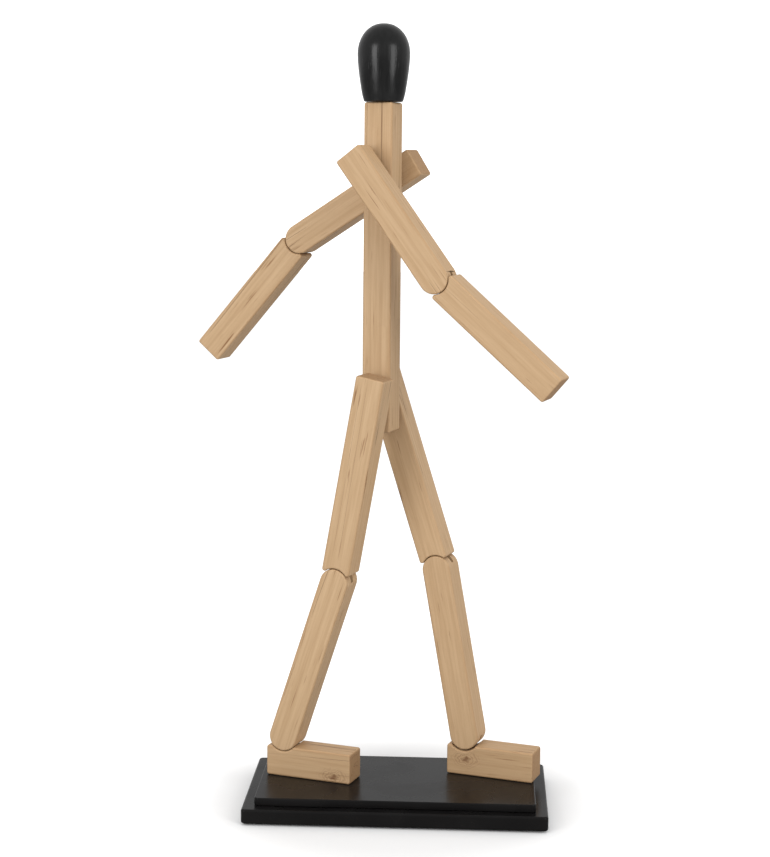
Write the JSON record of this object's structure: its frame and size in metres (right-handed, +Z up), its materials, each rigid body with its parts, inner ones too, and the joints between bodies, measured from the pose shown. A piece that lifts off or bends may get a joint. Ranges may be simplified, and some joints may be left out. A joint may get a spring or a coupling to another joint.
{
  "type": "artist mannequin",
  "caption": "Striding stick mannequin of square pale wood bars with a blank black match-shaped head, pinned at the joints and standing on a black stepped base.",
  "frame": {"origin": "centre of the base's underside, on the felt's lower face", "axes": "+Z up; +X along the base's long side, roughly the way the figure walks; +Y towards the figure's left"},
  "size_m": [0.2565, 0.1526, 0.5276],
  "materials": {
    "pale_wood": "satin",
    "hardwood": "satin",
    "black_paint": "satin black paint",
    "match_black": "semi-gloss black paint",
    "felt": "matt",
    "steel": "satin"
  },
  "bodies": {
    "stand": {"base_felt": "felt", "base_lower_board": "black_paint", "base_upper_board": "black_paint", "right_foot": "pale_wood", "left_foot": "pale_wood", "right_ankle_tongue": "hardwood", "left_ankle_tongue": "hardwood", "right_foot_screw_1": "steel", "right_foot_screw_2": "steel", "left_foot_screw_1": "steel", "left_foot_screw_2": "steel"},
    "right_lower_leg": {"right_shin": "pale_wood", "right_ankle_pin": "steel", "right_knee_pin": "steel"},
    "right_upper_leg": {"right_thigh": "pale_wood", "right_knee_tongue": "hardwood"},
    "left_upper_leg": {"left_thigh": "pale_wood", "left_knee_tongue": "hardwood"},
    "left_lower_leg": {"left_shin": "pale_wood", "left_knee_pin": "steel", "left_ankle_pin": "steel"},
    "trunk": {"torso": "pale_wood", "hip_pin": "steel", "right_hip_spacer": "hardwood", "left_hip_spacer": "hardwood", "shoulder_pin": "steel", "right_shoulder_spacer": "hardwood", "left_shoulder_spacer": "hardwood", "neck_dowel": "hardwood"},
    "match_head": {"head": "match_black"},
    "right_arm": {"right_upper_arm": "pale_wood", "right_elbow_pin": "steel"},
    "right_hand_end": {"right_forearm": "pale_wood", "right_elbow_tongue": "hardwood"},
    "left_arm": {"left_upper_arm": "pale_wood", "left_elbow_pin": "steel"},
    "left_hand_end": {"left_forearm": "pale_wood", "left_elbow_tongue": "hardwood"}
  },
  "joints": [
    {"name": "legs_sway", "type": "hinge", "parent": "stand", "child": "right_lower_leg", "pos_m": [-0.07643, 0.00777, 0.0445], "axis": [-0.309, -0.9511, 0], "range_deg": [-5, 5]},
    {"name": "right_knee", "type": "hinge", "parent": "right_lower_leg", "child": "right_upper_leg", "pos_m": [-0.04131, -0.00364, 0.15552], "axis": [-0.309, -0.9511, 0], "range_deg": [-14.3, 14.3]},
    {"name": "left_hip", "type": "hinge", "parent": "right_upper_leg", "child": "left_upper_leg", "pos_m": [-0.00668, 0.03768, 0.2665], "axis": [-0.309, -0.9511, 0], "range_deg": [-14.3, 14.3]},
    {"name": "left_knee", "type": "hinge", "parent": "left_upper_leg", "child": "left_lower_leg", "pos_m": [0.02719, 0.02667, 0.15947], "axis": [-0.309, -0.9511, 0], "range_deg": [-13.8, 13.8]},
    {"name": "torso_lean", "type": "hinge", "parent": "right_upper_leg", "child": "trunk", "pos_m": [-0.0144, 0.0139, 0.2665], "axis": [-0.309, -0.9511, 0], "range_deg": [-20, 15]},
    {"name": "head_turn", "type": "hinge", "parent": "trunk", "child": "match_head", "pos_m": [-0.0144, 0.0139, 0.4764], "axis": [0, 0, 1], "continuous": true},
    {"name": "right_shoulder", "type": "hinge", "parent": "trunk", "child": "right_arm", "pos_m": [-0.02212, -0.00988, 0.4269], "axis": [-0.309, -0.9511, 0], "range_deg": [-29, 120]},
    {"name": "right_elbow", "type": "hinge", "parent": "right_arm", "child": "right_hand_end", "pos_m": [0.02389, -0.02483, 0.36269], "axis": [-0.309, -0.9511, 0], "range_deg": [-57, 32]},
    {"name": "left_shoulder", "type": "hinge", "parent": "trunk", "child": "left_arm", "pos_m": [-0.00668, 0.03768, 0.4269], "axis": [-0.309, -0.9511, 0], "range_deg": [-100, 15]},
    {"name": "left_elbow", "type": "hinge", "parent": "left_arm", "child": "left_hand_end", "pos_m": [-0.07124, 0.05865, 0.38382], "axis": [-0.309, -0.9511, 0], "range_deg": [-61, 28]}
  ],
  "couplings": [
    {"joint": "right_knee", "follows": "legs_sway", "ratio": -2.78},
    {"joint": "left_hip", "follows": "legs_sway", "ratio": 2.7752},
    {"joint": "left_knee", "follows": "legs_sway", "ratio": -2.6744}
  ]
}
